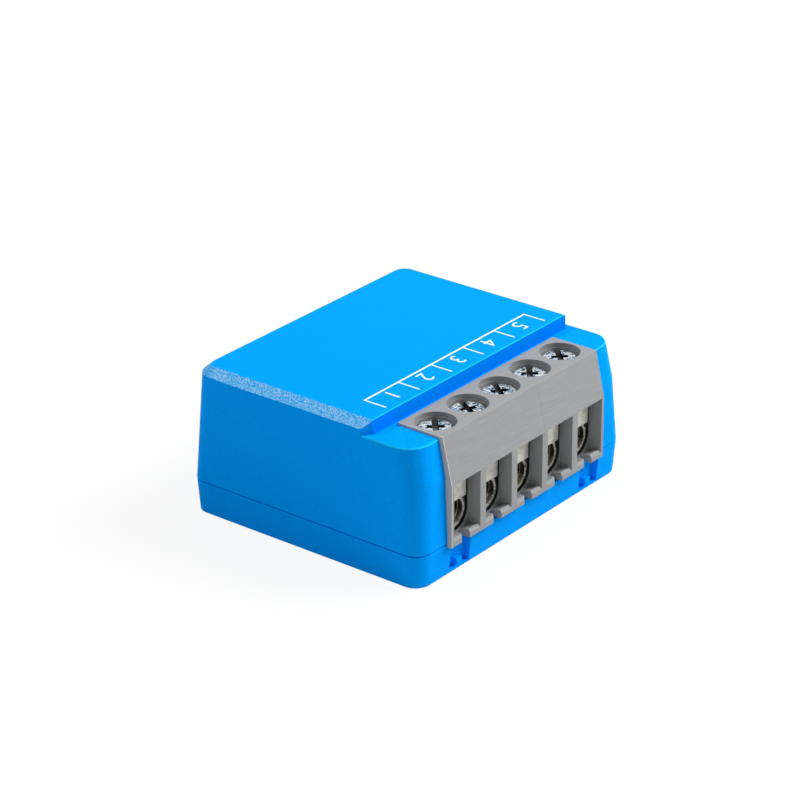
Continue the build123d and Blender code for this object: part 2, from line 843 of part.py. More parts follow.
def relay_core():
    stem = rod_z(core_r, yoke_bottom_z + yoke_thickness, pole_top_z, coil_x, relay_y)
    return stem + rod_z(pole_r, pole_top_z - pole_thickness, pole_top_z, coil_x, relay_y)


def relay_armature():
    half = armature_width / 2
    return span(pivot_x, pivot_x + armature_length, relay_y - half, relay_y + half,
                armature_bottom_z, armature_top_z)


def moving_spring():
    half = spring_width / 2
    end_x = moving_contact_x + contact_r + spring_thickness
    return span(pivot_x + yoke_thickness, end_x, relay_y - half, relay_y + half,
                armature_top_z, armature_top_z + spring_thickness)


def moving_contact():
    return rod_z(contact_r, moving_contact_z, armature_top_z, moving_contact_x, relay_y)


def fixed_contact():
    half = fixed_post_width / 2
    plate = span(moving_contact_x - fixed_plate_length / 2, fixed_post_x + fixed_post_thickness / 2,
                 relay_y - half, relay_y + half, fixed_plate_top_z - fixed_plate_thickness,
                 fixed_plate_top_z)
    post = span(fixed_post_x - fixed_post_thickness / 2, fixed_post_x + fixed_post_thickness / 2,
                relay_y - half, relay_y + half, relay_floor_z, fixed_plate_top_z)
    rivet = rod_z(contact_r, fixed_plate_top_z, fixed_contact_top_z, moving_contact_x, relay_y)
    return plate + post + rivet + pin_at((fixed_post_x, relay_y), tail_z, relay_floor_z)


# Power parts

def storage_cap_start(index):
    return storage_cap_first_x + index * storage_cap_spacing


def storage_cap_leads(index):
    x = storage_cap_start(index) + storage_cap_length + cap_lead_reach
    return [(x, storage_cap_y + side * storage_cap_r * cap_lead_spacing_share) for side in (-1, 1)]


def storage_capacitor(index):
    """Electrolytic can lying on the board, with both leads bent down at its end."""
    x0 = storage_cap_start(index)
    x1 = x0 + storage_cap_length
    can = rod_x(storage_cap_r, x0, x1, storage_cap_y, storage_cap_z)
    can = fillet(can.edges().filter_by(GeomType.CIRCLE), storage_cap_edge_r)
    for x, y in storage_cap_leads(index):
        can += rod_x(lead_r, x1 - overrun, x, y, storage_cap_z)
        can += rod_z(lead_r, tail_z, storage_cap_z, x, y)
        can += Pos(x, y, storage_cap_z) * Sphere(lead_r)
    return can


def inductor_leads():
    return [(inductor_x, inductor_y + side * inductor_lead_spread) for side in (-1, 1)]


def inductor_core():
    z0, z1 = pcb_top_z, pcb_top_z + inductor_height
    core = rod_z(inductor_r, z0, z0 + inductor_flange, inductor_x, inductor_y)
    core += rod_z(inductor_r, z1 - inductor_flange, z1, inductor_x, inductor_y)
    core += rod_z(inductor_neck_r, z0, z1, inductor_x, inductor_y)
    for x, y in inductor_leads():
        core += rod_z(lead_r, tail_z, z0 + inductor_flange / 2, x, y)
    return core


def inductor_winding():
    z0 = pcb_top_z + inductor_flange + inductor_winding_gap
    z1 = pcb_top_z + inductor_height - inductor_flange - inductor_winding_gap
    outer = inductor_r - inductor_winding_gap * 2
    inner = inductor_neck_r + inductor_winding_gap / 2
    return rod_z(outer, z0, z1, inductor_x, inductor_y) - rod_z(
        inner, z0 - overrun, z1 + overrun, inductor_x, inductor_y)


def varistor_leads():
    return [(varistor_x, varistor_y + side * varistor_lead_spread) for side in (-1, 1)]


def varistor():
    z = pcb_top_z + varistor_lift + varistor_r
    half = varistor_thickness / 2
    disc = rod_x(varistor_r, varistor_x - half, varistor_x + half, varistor_y, z)
    disc = fillet(disc.edges().filter_by(GeomType.CIRCLE), varistor_edge_r)
    for x, y in varistor_leads():
        disc += rod_z(lead_r, tail_z, z, x, y)
    return disc


def fuse_resistor_leads():
    reach = fuse_resistor_length / 2 + fuse_resistor_lead_reach
    return [(fuse_resistor_x + side * reach, fuse_resistor_y) for side in (-1, 1)]


def fusible_resistor():
    z = pcb_top_z + fuse_resistor_lift + fuse_resistor_cap_r
    half = fuse_resistor_length / 2
    x0, x1 = fuse_resistor_x - half, fuse_resistor_x + half
    body = rod_x(fuse_resistor_r, x0, x1, fuse_resistor_y, z)
    body += rod_x(fuse_resistor_cap_r, x0, x0 + fuse_resistor_cap_length, fuse_resistor_y, z)
    body += rod_x(fuse_resistor_cap_r, x1 - fuse_resistor_cap_length, x1, fuse_resistor_y, z)
    for x, y in fuse_resistor_leads():
        body += rod_x(lead_r, *sorted((x, fuse_resistor_x)), y, z)
        body += rod_z(lead_r, tail_z, z, x, y)
        body += Pos(x, y, z) * Sphere(lead_r)
    return body


def leaded_chip(size, x, y, leg_pitch, leg_count):
    """Moulded chip with small feet on its two short sides along X."""
    length, width, height = size
    foot = chip_leg_height
    chip = span(x - length / 2, x + length / 2, y - width / 2, y + width / 2,
                pcb_top_z + foot / 2, pcb_top_z + height)
    reach = length / 2 + chip_leg_length
    for index in range(leg_count):
        leg_y = y + (index - (leg_count - 1) / 2) * leg_pitch
        chip += span(x - reach, x + reach, leg_y - chip_leg_width / 2, leg_y + chip_leg_width / 2,
                     pcb_top_z, pcb_top_z + foot)
    return chip


def small_chips():
    length, width, height = small_chip_size
    chips = []
    for index in range(small_chip_count):
        y = small_chip_first_y + index * small_chip_pitch
        chips.append(span(small_chip_x - length / 2, small_chip_x + length / 2,
                          y - width / 2, y + width / 2, pcb_top_z, pcb_top_z + height))
    return chips


# Radio board

def radio_board():
    return span(radio_left_x, radio_right_x, radio_front_y, radio_back_y,
                radio_bottom_z, radio_top_z)


def shield_can():
    can = span(shield_left_x, shield_right_x, shield_front_y, radio_front_y,
               radio_bottom_z + shield_lift, radio_top_z - shield_top_margin)
    return fillet(can.edges().group_by(Axis.Y)[0], shield_edge_r)


def crystal():
    length, depth, height = crystal_size
    z0 = radio_bottom_z + crystal_lift
    return span(crystal_x - length / 2, crystal_x + length / 2, radio_front_y - depth,
                radio_front_y, z0, z0 + height)


def antenna():
    """Meandering copper trace near the end of the radio board."""
    z0 = radio_bottom_z + antenna_lift
    z1 = radio_top_z - antenna_top_margin
    front = radio_front_y - antenna_thickness
    trace = None
    for index in range(antenna_turns):
        x = antenna_end_x + index * antenna_turn_pitch
        bar = span(x, x + antenna_width, front, radio_front_y, z0, z1)
        link_z = z1 - antenna_width if index % 2 else z0
        if index < antenna_turns - 1:
            bar += span(x, x + antenna_turn_pitch + antenna_width, front, radio_front_y,
                        link_z, link_z + antenna_width)
        trace = bar if trace is None else trace + bar
    return trace


# Control button

def button_cap():
    cap = rod_x(button_r, flange_inner_x, button_face_x, button_y, button_z)
    cap = fillet(cap.edges().sort_by(Axis.X)[-1], button_edge_r)
    return cap + rod_x(button_flange_r, flange_inner_x, flange_outer_x, button_y, button_z)


def switch_plunger():
    return rod_x(plunger_r, plunger_end_x - plunger_length, plunger_end_x, button_y, button_z)


def switch_leads():
    x = (switch_left_x + switch_right_x) / 2
    return [(x, button_y + side * switch_leg_spread) for side in (-1, 1)]


def tact_switch():
    half = switch_width / 2
    body = span(switch_left_x, switch_right_x, button_y - half, button_y + half,
                pcb_top_z, pcb_top_z + switch_height)
    body = fillet(body.edges().filter_by(Axis.X), switch_edge_r)
    room_end_x = plunger_end_x - plunger_length - button_travel - plunger_end_room
    body -= rod_x(plunger_r + plunger_clearance, room_end_x, switch_right_x + overrun,
                  button_y, button_z)
    for x, y in switch_leads():
        body += rod_z(lead_r, tail_z, pcb_top_z + switch_edge_r, x, y)
    return body


# Main board

def board_cuts():
    """Holes for the leads and legs and the slot for the radio board."""
    leads = storage_cap_leads(0) + storage_cap_leads(1) + inductor_leads() + varistor_leads()
    leads += fuse_resistor_leads() + switch_leads()
    low, high = pcb_bottom_z - overrun, pcb_top_z + overrun
    cuts = [rod_z(lead_r + lead_clearance, low, high, x, y) for x, y in leads]
    cuts += [pin_at(place, low, high, lead_clearance) for place in relay_pin_places()]
    leg_half = contact_leg_width / 2 + lead_clearance
    for x in cell_centres:
        cuts.append(span(x - leg_half, x + leg_half, leg_front_y - lead_clearance,
                         leg_back_y + lead_clearance, low, high))
    cuts.append(span(radio_left_x - lead_clearance, radio_right_x + lead_clearance,
                     radio_front_y - lead_clearance, radio_back_y + lead_clearance,
                     radio_bottom_z, high))
    return cuts


def main_board():
    points = [(-pcb_half, pcb_front_y), (pcb_half, pcb_front_y), (pcb_half, pcb_back_y),
              (-pcb_half, pcb_back_y)]
    outline = FilletPolyline(*points, radius=pcb_corner_r, close=True)
    board = extrude(Plane.XY.offset(pcb_bottom_z) * make_face(outline), pcb_thickness)
    for cut in board_cuts():
        board -= cut
    return board


def build():
    save("upper_shell", upper_shell())
    save("base_cover", base_cover())
    seam_x = (cell_centres[first_module_ways - 1] + cell_centres[first_module_ways]) / 2
    seam_half = module_seam / 2
    save("terminal_housing_left",
         terminal_housing(-block_half, seam_x - seam_half, cell_centres[:first_module_ways]))
    save("terminal_housing_right",
         terminal_housing(seam_x + seam_half, block_half, cell_centres[first_module_ways:]))
    for number, x in enumerate(cell_centres, start=1):
        turn = slot_turns[(number - 1) % len(slot_turns)]
        save(f"terminal_screw_{number}", terminal_screw(x, turn))
        save(f"clamp_cage_{number}", clamp_cage(x))
        save(f"terminal_contact_{number}", terminal_contact(x))
    save("main_board", main_board())
    save("relay_case", relay_case())
    save("relay_base", relay_base())
    save("relay_pins", Compound(relay_pins()))
    save("relay_yoke", relay_yoke())
    save("relay_bobbin", relay_bobbin())
    save("relay_coil", relay_coil())
    save("relay_core", relay_core())
    save("relay_armature", relay_armature())
    save("moving_spring", moving_spring())
    save("moving_contact", moving_contact())
    save("fixed_contact", fixed_contact())
    save("storage_capacitor_1", storage_capacitor(0))
    save("storage_capacitor_2", storage_capacitor(1))
    save("inductor_core", inductor_core())
    save("inductor_winding", inductor_winding())
    save("varistor", varistor())
    save("fusible_resistor", fusible_resistor())
    save("bridge_rectifier", leaded_chip(rectifier_size, rectifier_x, rectifier_y, rectifier_leg_pitch, 2))
    save("power_converter",
         leaded_chip(converter_size, converter_x, converter_y, converter_leg_pitch, 3))
    save("chip_components", Compound(small_chips()))
    save("radio_board", radio_board())
    save("shield_can", shield_can())
    save("crystal", crystal())
    save("antenna", antenna())
    save("button_cap", button_cap())
    save("switch_plunger", switch_plunger())
    save("tact_switch", tact_switch())


build()
cage_travel = ledge_bottom_z - cage_top_z - cage_top_room
print("cage rises", round(cage_travel, 3), "mm and leaves a wire gap of",
      round(bar_bottom_z - (cage_hole_z - cage_hole_r) - cage_travel, 3), "mm")
print("armature closes at",
      round(degrees(atan((contact_air_gap - contact_closed_gap) / (moving_contact_x - pivot_x))), 2),
      "degrees about", round(pivot_x, 3), round(relay_y, 3), round(pivot_z, 3))
print("button travels", button_travel, "mm")
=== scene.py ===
import math

import bpy
from mathutils import Matrix, Vector


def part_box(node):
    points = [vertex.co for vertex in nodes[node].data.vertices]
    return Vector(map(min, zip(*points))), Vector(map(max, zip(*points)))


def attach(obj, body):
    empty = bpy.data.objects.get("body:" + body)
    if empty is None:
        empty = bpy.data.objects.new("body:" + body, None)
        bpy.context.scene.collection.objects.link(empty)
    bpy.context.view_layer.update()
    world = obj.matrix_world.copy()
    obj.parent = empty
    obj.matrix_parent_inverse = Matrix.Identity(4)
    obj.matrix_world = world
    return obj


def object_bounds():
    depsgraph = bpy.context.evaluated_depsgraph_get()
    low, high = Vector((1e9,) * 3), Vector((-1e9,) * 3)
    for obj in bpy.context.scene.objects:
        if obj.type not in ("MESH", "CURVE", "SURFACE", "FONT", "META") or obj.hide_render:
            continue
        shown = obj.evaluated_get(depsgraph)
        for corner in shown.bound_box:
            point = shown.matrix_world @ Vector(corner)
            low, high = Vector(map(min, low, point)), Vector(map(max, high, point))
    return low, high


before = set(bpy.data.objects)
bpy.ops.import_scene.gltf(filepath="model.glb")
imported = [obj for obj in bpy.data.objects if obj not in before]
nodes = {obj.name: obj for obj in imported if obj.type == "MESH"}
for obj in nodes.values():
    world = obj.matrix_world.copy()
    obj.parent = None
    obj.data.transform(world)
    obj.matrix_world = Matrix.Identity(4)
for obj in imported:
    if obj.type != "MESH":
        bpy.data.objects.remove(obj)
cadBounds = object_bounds()
mm = 0.001
ways = 5  # terminals
pitch = 5.08  # from one terminal to the next, in mm


# Shader tools

paintSteps = 255  # a paint program's steps per channel
screenGamma = 2.2
noiseMiddle = 0.5  # the mean of a noise texture


def paint(red, green, blue):
    # a colour as a paint program shows it, made linear
    return tuple((channel / paintSteps) ** screenGamma for channel in (red, green, blue)) + (1.0,)


def darker(colour, share):
    return tuple(channel * share for channel in colour[:3]) + (1.0,)


pureWhite = paint(255, 255, 255)


class Wire:
    # wraps an output socket, so that shader maths reads as sums
    def __init__(self, shader, socket):
        self.shader, self.socket = shader, socket

    def calc(self, operation, first, second):
        return self.shader.node("Math", {"operation": operation}, {0: first, 1: second})

    def __add__(self, other):
        return self.calc("ADD", self, other)

    def __radd__(self, other):
        return self.calc("ADD", other, self)

    def __sub__(self, other):
        return self.calc("SUBTRACT", self, other)

    def __rsub__(self, other):
        return self.calc("SUBTRACT", other, self)

    def __mul__(self, other):
        return self.calc("MULTIPLY", self, other)

    def __rmul__(self, other):
        return self.calc("MULTIPLY", other, self)

    def __gt__(self, other):
        return self.calc("GREATER_THAN", self, other)

    def __lt__(self, other):
        return self.calc("LESS_THAN", self, other)

    def clamp(self):
        return self.shader.node("Clamp", {}, {0: self})


class Shader:
    # the nodes of one material or of the world
    def __init__(self, holder):
        self.holder = holder
        holder.use_nodes = True
        self.tree = holder.node_tree
        self.tree.nodes.clear()

    def node(self, kind, settings, sockets, out=0):
        # settings first, then the values or links of the sockets
        made = self.tree.nodes.new("ShaderNode" + kind)
        for name, value in settings.items():
            setattr(made, name, value)
        for name, value in sockets.items():
            if isinstance(value, Wire):
                self.tree.links.new(value.socket, made.inputs[name])
            else:
                made.inputs[name].default_value = value
        return Wire(self, made.outputs[out]) if made.outputs else None

    def place(self, stretch=(1.0, 1.0, 1.0)):
        # object coordinates in millimetres, stretched
        spot = self.node("TexCoord", {}, {}, "Object")
        return self.node("VectorMath", {"operation": "MULTIPLY"},
                         {0: spot, 1: tuple(share / mm for share in stretch)})

    def facing(self):
        return self.node("TexCoord", {}, {}, "Normal")

    def axis(self, vector, name):
        return self.node("SeparateXYZ", {}, {0: vector}, name)

    def wrap(self, value):
        # distance along an axis from the nearest multiple of the pitch
        return self.node("Math", {"operation": "WRAP"}, {0: value, 1: pitch / 2, 2: -pitch / 2})

    def span(self, across, along):
        # length of a flat vector
        flat = self.node("CombineXYZ", {}, {0: across, 1: along})
        return self.node("VectorMath", {"operation": "LENGTH"}, {0: flat}, "Value")

    def noise(self, spot, perMm, detail, roughness):
        return self.node("TexNoise", {}, {"Vector": spot, "Scale": perMm, "Detail": detail,
                                          "Roughness": roughness})

    def mix(self, share, first, second):
        return self.node("Mix", {"data_type": "RGBA"}, {0: share, 6: first, 7: second}, 2)

    def ramp(self, value, low, high):
        # 0 up to the low value, 1 from the high one
        return self.node("MapRange", {}, {"Value": value, "From Min": low, "From Max": high})

    def vary(self, middle, noise, spread):
        return (middle + (noise - noiseMiddle) * spread).clamp()

    def bump(self, height, depth):
        # depth in millimetres
        return self.node("Bump", {}, {"Height": height, "Distance": depth * mm})

    def finish(self, **sockets):
        named = {name.replace("_", " "): value for name, value in sockets.items()}
        surface = self.node("BsdfPrincipled", {}, named)
        self.node("OutputMaterial", {}, {"Surface": surface})
        return self.holder


def newShader(name):
    return Shader(bpy.data.materials.new(name))


def dress(material, *names):
    for name in names:
        slots = nodes[name].data.materials
        slots.clear()
        slots.append(material)


def numbered(stem):
    return [f"{stem}_{number}" for number in range(1, ways + 1)]


# Case

# in each finish, a noise is its scale per mm, detail and roughness, and places are in mm
caseLook = {
    "blue": paint(0, 160, 255),
    "deepBlue": paint(0, 147, 248),
    "toneRange": (0.35, 0.65),
    "grain": (8.0, 3.0, 0.6),
    "grainDepth": 0.02,
    "roughness": 0.4,
    "roughnessSpread": 0.16,
    "specular": 0.006,
    "slopeLow": 0.3,  # slopes and steps are told by how far their normals point up and forward
    "slopeHigh": 0.93,
    # painted light on the sloped rim of the deck
    "rimPaintedLight": paint(0, 188, 255),
    "rimPaintedLightShare": 0.6,
    "specks": (7.6, 3.0, 0.6),
    "speckRange": (0.49, 0.55),
    # painted highlight specks on the rim
    "speckHighlight": paint(190, 220, 255),
    "speckHighlightShare": 0.55,
    "speckCoat": 0.15,
    "speckGloss": 0.22,
    # painted highlight on the front edges of deck and shelf
    "edgeHighlight": paint(40, 214, 255),
    "edgeHighlightShare": 0.55,
    "edgeFront": -0.3,
    # painted shade on the step down to the terminals
    "stepShade": paint(0, 124, 236),
    "stepLow": 0.1,
    "stepFront": -0.9,
    "shelfZ": 14.3,
    "deckStartZ": 15.0,
}


def casePlastic(name, look):
    s = newShader(name)
    spot, facing = s.place(), s.facing()
    grain = s.noise(spot, *look["grain"])
    rise, front, height = s.axis(facing, "Z"), s.axis(facing, "Y"), s.axis(spot, "Z")
    above = height > look["shelfZ"]
    slopes = (rise > look["slopeLow"]) * (rise < look["slopeHigh"]) * above
    # painted highlight on the front edges of deck and shelf
    edges = ((front < look["edgeFront"]) + (height < look["deckStartZ"])).clamp() * slopes
    # painted light on the sloped rim of the deck: a lighter blue with painted highlight specks, and
    # the specks also carry a glossy coat
    rim = slopes - edges
    specks = s.ramp(s.noise(spot, *look["specks"]), *look["speckRange"]) * rim
    # painted shade: the step down to the terminals is a darker blue
    step = (rise > look["stepLow"]) * (rise < look["slopeLow"]) * above
    step = step * (front < look["stepFront"])
    colour = s.mix(s.ramp(grain, *look["toneRange"]), look["blue"], look["deepBlue"])
    colour = s.mix(rim * look["rimPaintedLightShare"], colour, look["rimPaintedLight"])
    colour = s.mix(specks * look["speckHighlightShare"], colour, look["speckHighlight"])
    colour = s.mix(edges * look["edgeHighlightShare"], colour, look["edgeHighlight"])
    colour = s.mix(step, colour, look["stepShade"])
    return s.finish(Base_Color=colour,
                    Roughness=s.vary(look["roughness"], grain, look["roughnessSpread"]),
                    Specular_IOR_Level=look["specular"],
                    Coat_Weight=specks * look["speckCoat"], Coat_Roughness=look["speckGloss"],
                    Normal=s.bump(grain, look["grainDepth"]))


dress(casePlastic("caseBlue", caseLook), "upper_shell", "base_cover", "button_cap")
print("case dressed")


# Terminal block

blockLook = {
    "grey": paint(152, 153, 154),
    "darkGrey": paint(142, 143, 144),
    "toneRange": (0.3, 0.7),
    "streaks": (6.0, 4.0, 0.65),
    "streakStretch": (0.06, 1.0, 1.0),  # drawn out along the row of terminals
    "streakDepth": 0.006,
    "grain": (12.0, 2.0, 0.5),
    "grainShare": 0.4,
    "roughness": 0.5,
    "roughnessSpread": 0.2,
    "specular": 0.12,
    "boreY": -10.93,
    "boreRadius": 2.12,
    # painted shade in the screw bores
    "boreShade": paint(136, 138, 139),
    "chamberFrontY": -13.18,
    "chamberHalf": 2.1,
    "chamberTopZ": 11.4,
    # painted shade in the chamber around each clamp cage
    "chamberShade": paint(42, 43, 45),
    "endX": -12.5,
    # painted light on the block's end face
    "endPaintedLight": paint(190, 185, 176),
}


def blockPlastic(name, look):
    s = newShader(name)
    spot = s.place()
    streaks = s.noise(s.place(look["streakStretch"]), *look["streaks"])
    grain = s.noise(spot, *look["grain"])
    colour = s.mix(s.ramp(streaks, *look["toneRange"]), look["darkGrey"], look["grey"])
    # painted shade in the screw bores, darker than the other faces
    across = s.wrap(s.axis(spot, "X"))
    reach = s.span(across, s.axis(spot, "Y") - look["boreY"])
    colour = s.mix(reach < look["boreRadius"], colour, look["boreShade"])
    # painted shade in the depth around the clamp cages, painted light on the end face
    chamber = s.span(across, 0.0) < look["chamberHalf"]
    chamber = chamber * (s.axis(spot, "Y") > look["chamberFrontY"])
    chamber = chamber * (s.axis(spot, "Z") < look["chamberTopZ"])
    colour = s.mix(chamber, colour, look["chamberShade"])
    colour = s.mix(s.axis(spot, "X") < look["endX"], colour, look["endPaintedLight"])
    return s.finish(Base_Color=colour,
                    Roughness=s.vary(look["roughness"], grain, look["roughnessSpread"]),
                    Specular_IOR_Level=look["specular"],
                    Normal=s.bump(streaks + grain * look["grainShare"], look["streakDepth"]))


dress(blockPlastic("blockGrey", blockLook), "terminal_housing_left", "terminal_housing_right")
print("terminal block dressed")


# Metal parts

screwLook = {
    # painted glints and painted dark reflection on the screw heads
    "glint": paint(252, 255, 255),
    "gap": paint(20, 44, 54),
    "glintTint": paint(150, 196, 236),
    # painted shade on the faces that do not glint, lighter on faces that point up
    "deepShade": paint(34, 42, 46),
    "deepShadeLitTop": paint(120, 140, 150),
    "axis": "Z",
    "sign": 1.0,
    "above": 13.3,
    "rimRadius": None,  # bright all over
    "grain": (2.8, 3.0, 0.55),
    "grainDepth": 0.16,
    "glintFrom": 0.46,
    "roughness": 0.2,
    "metallic": 0.8,
}
cageLook = {
    # painted glints and painted dark reflection on the cage rims
    "glint": paint(255, 252, 240),
    "gap": paint(30, 32, 30),
    "glintTint": paint(196, 206, 206),
    # painted shade inside the cage, lighter on its floor
    "deepShade": paint(70, 64, 52),
    "deepShadeLitTop": paint(190, 182, 156),
    "axis": "Y",
    "sign": -1.0,
    "above": 0.0,
    "rimZ": 5.75,
    "rimRadius": 1.7,
    "rimRagged": 0.8,
    "grain": (2.4, 3.0, 0.55),
    "grainDepth": 0.08,
    "glintFrom": 0.4,
    "roughness": 0.28,
    "metallic": 0.5,
}
glintLook = {  # the same on screws and cages
    "facingLeast": 0.5,
    "tintSpan": 0.1,
    "glintSpan": 0.06,
    "deepRange": (0.3, 0.7),
    "roughnessSpread": 0.25,
}
contactLook = {
    "light": paint(214, 212, 206),
    "dark": paint(180, 176, 168),
    "toneRange": (0.35, 0.65),
    "cloud": (1.0, 3.0, 0.6),
    "grain": (4.0, 4.0, 0.6),
    "grainDepth": 0.008,
    "roughness": 0.45,
    "roughnessSpread": 0.25,
    "metallic": 0.75,
}


def glintsAndShade(name, look):
    # painted glints: bright flecks with painted dark reflection between them on the faces along one
    # axis, painted shade elsewhere, lighter where faces point up
    s = newShader(name)
    spot, facing = s.place(), s.facing()
    grain = s.noise(spot, *look["grain"])
    shown = s.axis(facing, look["axis"]) * look["sign"] > look["facingLeast"]
    shown = shown * (s.axis(spot, "Z") > look["above"])
    if look["rimRadius"]:
        # painted highlight: a cage's front is bright only along the ragged inner rim of its mouth
        across = s.wrap(s.axis(spot, "X"))
        reach = s.span(across, s.axis(spot, "Z") - look["rimZ"])
        ragged = reach + (grain - noiseMiddle) * look["rimRagged"]
        shown = shown * (ragged < look["rimRadius"])
    start = look["glintFrom"]
    tinted = s.ramp(grain, start - look["tintSpan"], start)
    glinting = s.ramp(grain, start, start + look["glintSpan"])
    bright = s.mix(glinting, s.mix(tinted, look["gap"], look["glintTint"]), look["glint"])
    # painted shade, lighter where the face points up
    rise = s.ramp(s.axis(facing, "Z"), *look["deepRange"])
    deepShade = s.mix(rise, look["deepShade"], look["deepShadeLitTop"])
    return s.finish(Base_Color=s.mix(shown, deepShade, bright), Metallic=look["metallic"],
                    Roughness=s.vary(look["roughness"], grain, look["roughnessSpread"]),
                    Normal=s.bump(grain, look["grainDepth"]))


def plate(name, look):
    # plated metal, cloudy and slightly rough
    s = newShader(name)
    spot = s.place()
    cloud, grain = s.noise(spot, *look["cloud"]), s.noise(spot, *look["grain"])
    colour = s.mix(s.ramp(cloud, *look["toneRange"]), look["light"], look["dark"])
    return s.finish(Base_Color=colour, Metallic=look["metallic"],
                    Roughness=s.vary(look["roughness"], grain, look["roughnessSpread"]),
                    Normal=s.bump(grain, look["grainDepth"]))


dress(glintsAndShade("zincPlate", glintLook | screwLook), *numbered("terminal_screw"))
dress(glintsAndShade("nickelPlate", glintLook | cageLook), *numbered("clamp_cage"))
dress(plate("tinPlate", contactLook), *numbered("terminal_contact"), "relay_pins")
print("terminals dressed")


# Parts inside the case

innerMetals = {
    "softIron": (paint(168, 170, 174), paint(132, 134, 138),
                 "relay_yoke relay_core relay_armature"),
    "springBronze": (paint(214, 176, 112), paint(180, 138, 78), "moving_spring"),
    "contactSilver": (paint(226, 226, 222), paint(190, 190, 188), "moving_contact fixed_contact"),
    "shieldTin": (paint(206, 206, 204), paint(180, 180, 178), "shield_can crystal"),
    "goldFlash": (paint(226, 190, 110), paint(200, 160, 84), "antenna"),
}
innerMetalLook = contactLook | {"metallic": 1.0, "roughness": 0.3}
innerPlastics = {
    "relayBlack": (paint(34, 34, 38), "relay_case relay_base"),
    "bobbinWhite": (paint(226, 224, 214), "relay_bobbin"),
    "sleeveBlack": (paint(26, 30, 52), "storage_capacitor_1 storage_capacitor_2"),
    "ferriteGrey": (paint(62, 62, 66), "inductor_core"),
    "varistorBlue": (paint(40, 92, 150), "varistor"),
    "lacquerGreen": (paint(118, 156, 134), "fusible_resistor"),
    "chipBlack": (paint(28, 28, 30), "bridge_rectifier power_converter tact_switch switch_plunger"),
    "ceramicTan": (paint(172, 142, 104), "chip_components"),
}
innerPlasticLook = {
    "darkShare": 0.8,
    "toneRange": (0.3, 0.7),
    "grain": (5.0, 3.0, 0.5),
    "grainDepth": 0.01,
    "roughness": 0.4,
    "roughnessSpread": 0.2,
}
windings = {
    "coilCopper": (paint(176, 92, 46), 6.0, "relay_coil"),
    "chokeCopper": (paint(188, 110, 54), 4.0, "inductor_winding"),
}
windingLook = {
    "darkShare": 0.4,
    "turnDepth": 0.05,
    "roughness": 0.3,
    "roughnessSpread": 0.1,
    "metallic": 0.6,
}
boardLook = {
    "mask": paint(20, 92, 52),
    "track": paint(46, 128, 70),
    "tracksPerMm": 0.8,
    "trackWidth": 0.06,
    "grain": (4.0, 2.0, 0.5),
    "grainDepth": 0.006,
    "roughness": 0.3,
    "roughnessSpread": 0.15,
}


def innerPlastic(name, colour, look):
    s = newShader(name)
    grain = s.noise(s.place(), *look["grain"])
    tone = s.ramp(grain, *look["toneRange"])
    return s.finish(Base_Color=s.mix(tone, darker(colour, look["darkShare"]), colour),
                    Roughness=s.vary(look["roughness"], grain, look["roughnessSpread"]),
                    Normal=s.bump(grain, look["grainDepth"]))


def woundWire(name, colour, turnsPerMm, look):
    # enamelled wire laid turn by turn up the coil
    s = newShader(name)
    halfTurn = 1 / (2 * turnsPerMm)
    rise = s.node("Math", {"operation": "PINGPONG"}, {0: s.axis(s.place(), "Z"), 1: halfTurn})
    crown = rise * (1 / halfTurn)
    # painted shade: the colour darkens into the grooves between turns
    return s.finish(Base_Color=s.mix(crown, darker(colour, look["darkShare"]), colour),
                    Metallic=look["metallic"],
                    Roughness=look["roughness"] + crown * look["roughnessSpread"],
                    Normal=s.bump(crown, look["turnDepth"]))


def boardLacquer(name, look):
    # green lacquer over faint copper tracks
    s = newShader(name)
    spot = s.place()
    tracks = s.node("TexBrick", {}, {"Vector": spot, "Scale": look["tracksPerMm"],
                                     "Mortar Size": look["trackWidth"], "Color1": look["mask"],
                                     "Color2": look["mask"], "Mortar": look["track"]})
    grain = s.noise(spot, *look["grain"])
    return s.finish(Base_Color=tracks,
                    Roughness=look["roughness"] + grain * look["roughnessSpread"],
                    Normal=s.bump(grain, look["grainDepth"]))


for name, (light, dark, users) in innerMetals.items():
    dress(plate(name, innerMetalLook | {"light": light, "dark": dark}), *users.split())
for name, (colour, users) in innerPlastics.items():
    dress(innerPlastic(name, colour, innerPlasticLook), *users.split())
for name, (colour, turnsPerMm, user) in windings.items():
    dress(woundWire(name, colour, turnsPerMm, windingLook), user)
dress(boardLacquer("boardGreen", boardLook), "main_board", "radio_board")
print("inner parts dressed")


# Label print on the deck

printLook = {
    "white": paint(236, 246, 252),
    "shade": paint(214, 234, 248),
    "cover": (6.0, 3.0, 0.6),
    "coverRange": (0.25, 0.6),
    "coverDepth": 0.004,
    "roughness": 0.5,
    "roughnessSpread": 0.2,
    "lineWidth": 0.21 * mm,
    "tickWidth": 0.17 * mm,
    "bracketLeft": -12.66 * mm,
    "bracketRight": 13.18 * mm,
    "bracketY": -4.27 * mm,
    "tickEndY": -6.9 * mm,
    "digitFootY": -4.74 * mm,
    "digitHeight": 1.8 * mm,
    "digitThinning": 0.02 * mm,
    "inkHeight": 0.012 * mm,
}


def inkMaterial(look):
    s = newShader("printWhite")
    cover = s.noise(s.place(), *look["cover"])
    colour = s.mix(s.ramp(cover, *look["coverRange"]), look["shade"], look["white"])
    return s.finish(Base_Color=colour,
                    Roughness=s.vary(look["roughness"], cover, look["roughnessSpread"]),
                    Normal=s.bump(cover, look["coverDepth"]))


def addObject(name, data):
    made = bpy.data.objects.new(name, data)
    bpy.context.scene.collection.objects.link(made)
    return made


def addMesh(name, corners, faces):
    mesh = bpy.data.meshes.new(name)
    mesh.from_pydata(corners, [], faces)
    return addObject(name, mesh)


